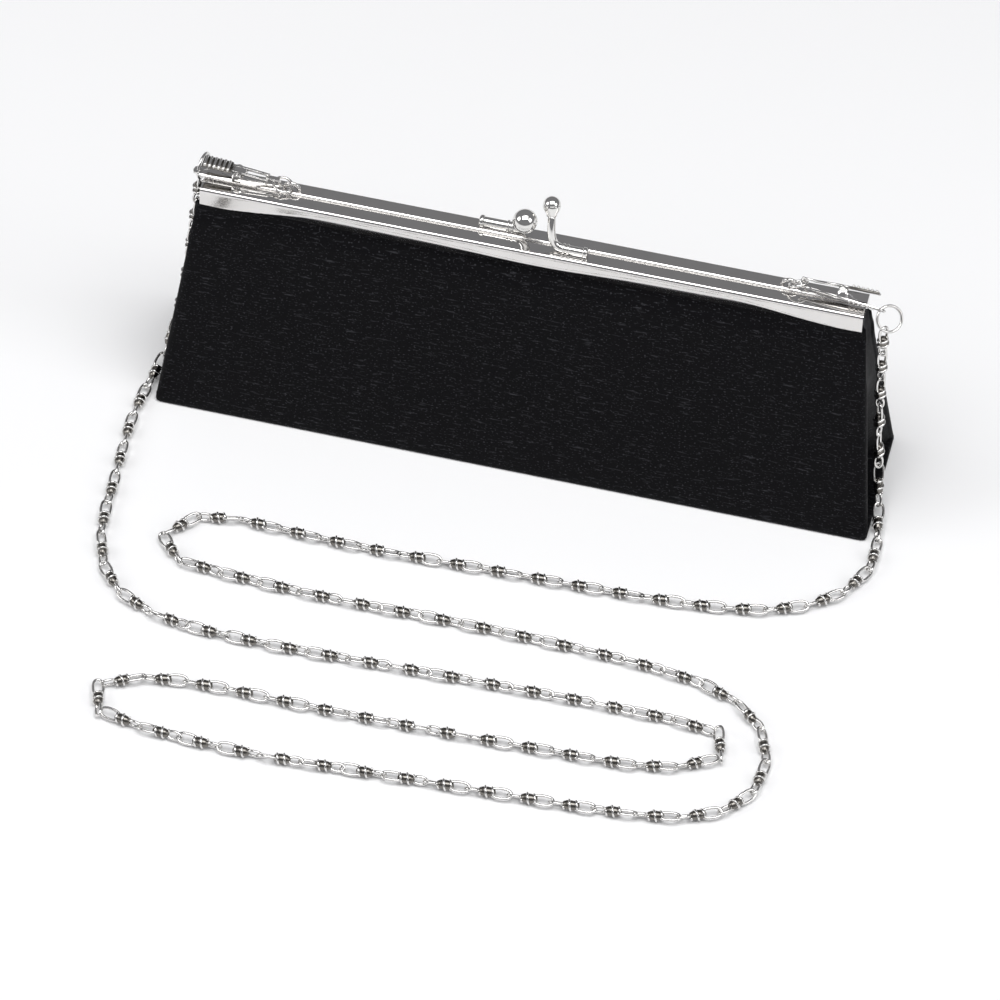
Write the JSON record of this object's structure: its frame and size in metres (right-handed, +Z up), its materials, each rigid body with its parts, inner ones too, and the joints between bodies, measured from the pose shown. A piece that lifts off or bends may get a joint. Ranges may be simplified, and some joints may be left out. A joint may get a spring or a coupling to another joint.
{
  "type": "clutch purse",
  "caption": "Slim evening clutch with a boarded satin body, a straight kiss-lock frame with a ball clasp, and a clip-on chain strap.",
  "frame": {"origin": "middle of the base, on the surface that the purse stands on", "axes": "+X along the purse towards the right as seen from the front, the front faces -Y, +Z up"},
  "size_m": [0.2577, 0.1902, 0.1025],
  "materials": {
    "satin": "black slub satin with a soft sheen",
    "lining": "smooth black lining",
    "board": "grey stiffening board",
    "paper_cord": "twisted paper cord",
    "silver_frame": "polished silver plate",
    "silver_clasp": "polished silver plate",
    "silver_hardware": "polished silver plate on pressed parts",
    "silver_chain": "polished silver plate on formed wire links",
    "spring_steel": "bright spring wire"
  },
  "bodies": {
    "bag": {"back_bar": "silver_frame", "left_back_arm": "silver_frame", "right_back_arm": "silver_frame", "left_hinge_rivet": "silver_frame", "right_hinge_rivet": "silver_frame", "back_wedge_cord": "paper_cord", "back_clasp_post": "silver_clasp", "back_clasp_ball": "silver_clasp", "left_strap_lug": "silver_frame", "right_strap_lug": "silver_frame", "front_fabric": "satin", "back_fabric": "satin", "base_fabric": "satin", "front_fold_fabric": "satin", "left_gusset": "satin", "right_gusset": "satin", "left_gusset_top": "satin", "right_gusset_top": "satin", "front_board": "board", "back_board": "board", "base_board": "board", "front_lining": "lining", "back_lining": "lining", "base_lining": "lining", "left_chain": "silver_chain", "right_chain": "silver_chain"},
    "front_frame": {"front_bar": "silver_frame", "left_front_arm": "silver_frame", "right_front_arm": "silver_frame", "front_wedge_cord": "paper_cord", "front_clasp_post": "silver_clasp", "front_clasp_ball": "silver_clasp", "front_top_fabric": "satin"},
    "left_clip": {"left_small_ring": "silver_hardware", "left_clip_body": "silver_hardware", "left_clip_pin": "silver_hardware", "left_clip_spring": "spring_steel", "left_chain_ring": "silver_hardware"},
    "left_lever": {"left_clip_lever": "silver_hardware"},
    "right_clip": {"right_small_ring": "silver_hardware", "right_clip_body": "silver_hardware", "right_clip_pin": "silver_hardware", "right_clip_spring": "spring_steel", "right_chain_ring": "silver_hardware"},
    "right_lever": {"right_clip_lever": "silver_hardware"}
  },
  "joints": [
    {"name": "frame_hinge", "type": "hinge", "parent": "bag", "child": "front_frame", "pos_m": [0, 0, 0.06], "axis": [1, 0, 0], "range_deg": [0, 60], "deforming": ["front_fold_fabric", "left_gusset_top", "right_gusset_top"]},
    {"name": "left_clip_swing", "type": "hinge", "parent": "bag", "child": "left_clip", "pos_m": [-0.0805, 0.0016, 0.0863], "axis": [0, 1, 0], "range_deg": [0, 75]},
    {"name": "right_clip_swing", "type": "hinge", "parent": "bag", "child": "right_clip", "pos_m": [0.084, 0.0016, 0.0863], "axis": [0, -1, 0], "range_deg": [0, 75]},
    {"name": "left_lever_pinch", "type": "hinge", "parent": "left_clip", "child": "left_lever", "pos_m": [-0.09861, 0.0016, 0.08853], "axis": [0, -1, 0], "range_deg": [0, 16], "stiffness_Nm_per_rad": 0.02, "springref_deg": -14.32, "deforming": ["left_clip_spring"]},
    {"name": "right_lever_pinch", "type": "hinge", "parent": "right_clip", "child": "right_lever", "pos_m": [0.10162, 0.00036, 0.08938], "axis": [0.0584, 0.6404, -0.7658], "range_deg": [0, 16], "stiffness_Nm_per_rad": 0.02, "springref_deg": -14.32, "deforming": ["right_clip_spring"]}
  ]
}
